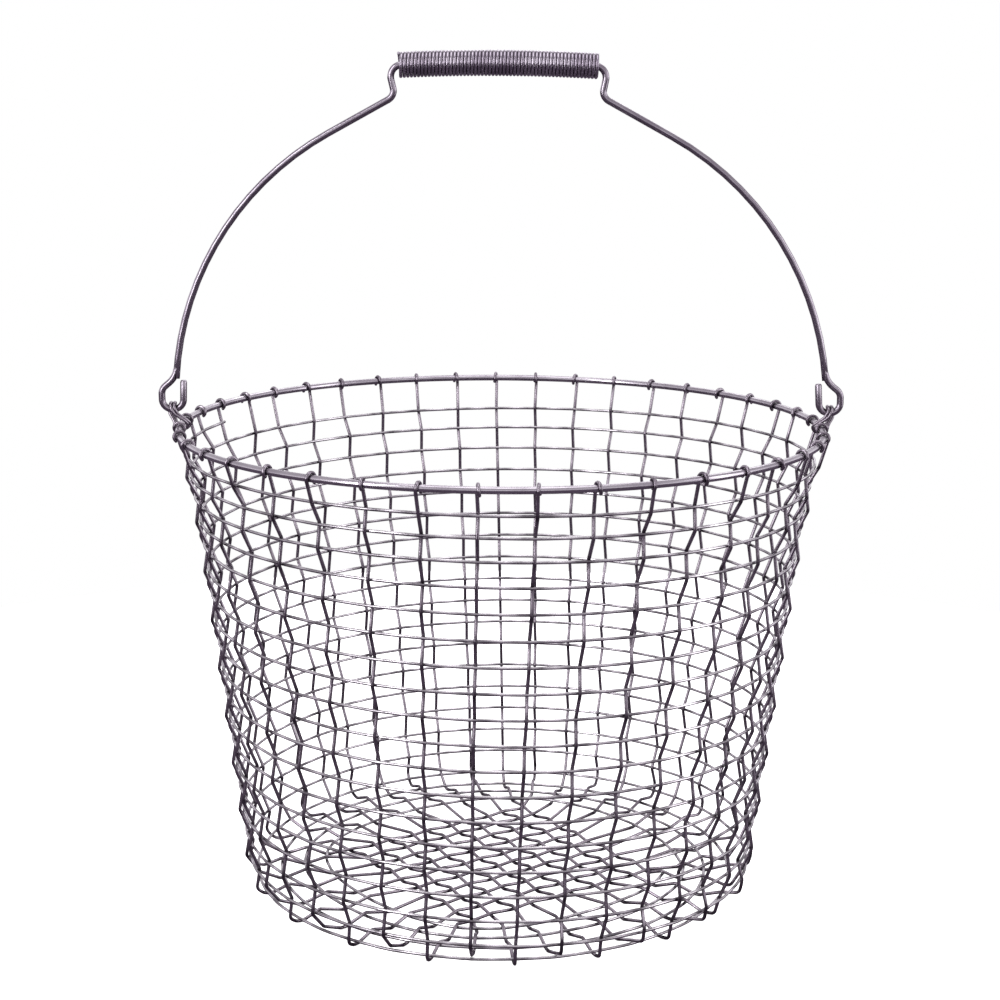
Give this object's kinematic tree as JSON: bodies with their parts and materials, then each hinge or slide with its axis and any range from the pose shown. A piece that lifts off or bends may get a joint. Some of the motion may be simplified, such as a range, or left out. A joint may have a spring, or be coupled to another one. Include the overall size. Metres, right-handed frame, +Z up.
{
  "type": "wire harvest basket",
  "caption": "Round open-weave steel wire basket, tapering to a woven flat floor, with a swinging bail on twisted links and a close-coiled wire grip.",
  "frame": {"origin": "on the ground under the middle of the basket", "axes": "+Z up, X along the bail's hinge axis between the two links, -Y the side seen in front"},
  "size_m": [0.4028, 0.3852, 0.4911],
  "materials": {
    "rim": "bright drawn stainless wire",
    "ribs": "bright drawn stainless wire",
    "weaver": "bright drawn stainless wire",
    "links": "bright drawn stainless wire",
    "bail": "bright drawn stainless wire",
    "grip": "bright drawn stainless wire"
  },
  "bodies": {
    "basket": {"rim_ring": "rim", "rib_01": "ribs", "rib_02": "ribs", "rib_03": "ribs", "rib_04": "ribs", "rib_05": "ribs", "rib_06": "ribs", "rib_07": "ribs", "rib_08": "ribs", "rib_09": "ribs", "rib_10": "ribs", "rib_11": "ribs", "rib_12": "ribs", "rib_13": "ribs", "rib_14": "ribs", "rib_15": "ribs", "rib_16": "ribs", "rib_17": "ribs", "rib_18": "ribs", "rib_19": "ribs", "rib_20": "ribs", "rib_21": "ribs", "weaver_wire": "weaver"},
    "bail": {"bail_wire": "bail"},
    "grip": {"grip_coil": "grip"},
    "left_link": {"left_link": "links"},
    "right_link": {"right_link": "links"}
  },
  "joints": [
    {"name": "bail_swing", "type": "hinge", "parent": "basket", "child": "bail", "pos_m": [0, 0, 0.2836], "axis": [1, 0, 0], "range_deg": [-86, 86]},
    {"name": "grip_spin", "type": "hinge", "parent": "bail", "child": "grip", "pos_m": [-0.0029, 0, 0.48354], "axis": [1, 0, 0], "continuous": true},
    {"name": "left_link_rock", "type": "hinge", "parent": "basket", "child": "left_link", "pos_m": [-0.188, 0, 0.275], "axis": [0, 1, 0], "range_deg": [-2, 2]},
    {"name": "right_link_rock", "type": "hinge", "parent": "basket", "child": "right_link", "pos_m": [0.188, 0, 0.275], "axis": [0, 1, 0], "range_deg": [-2, 2]}
  ]
}
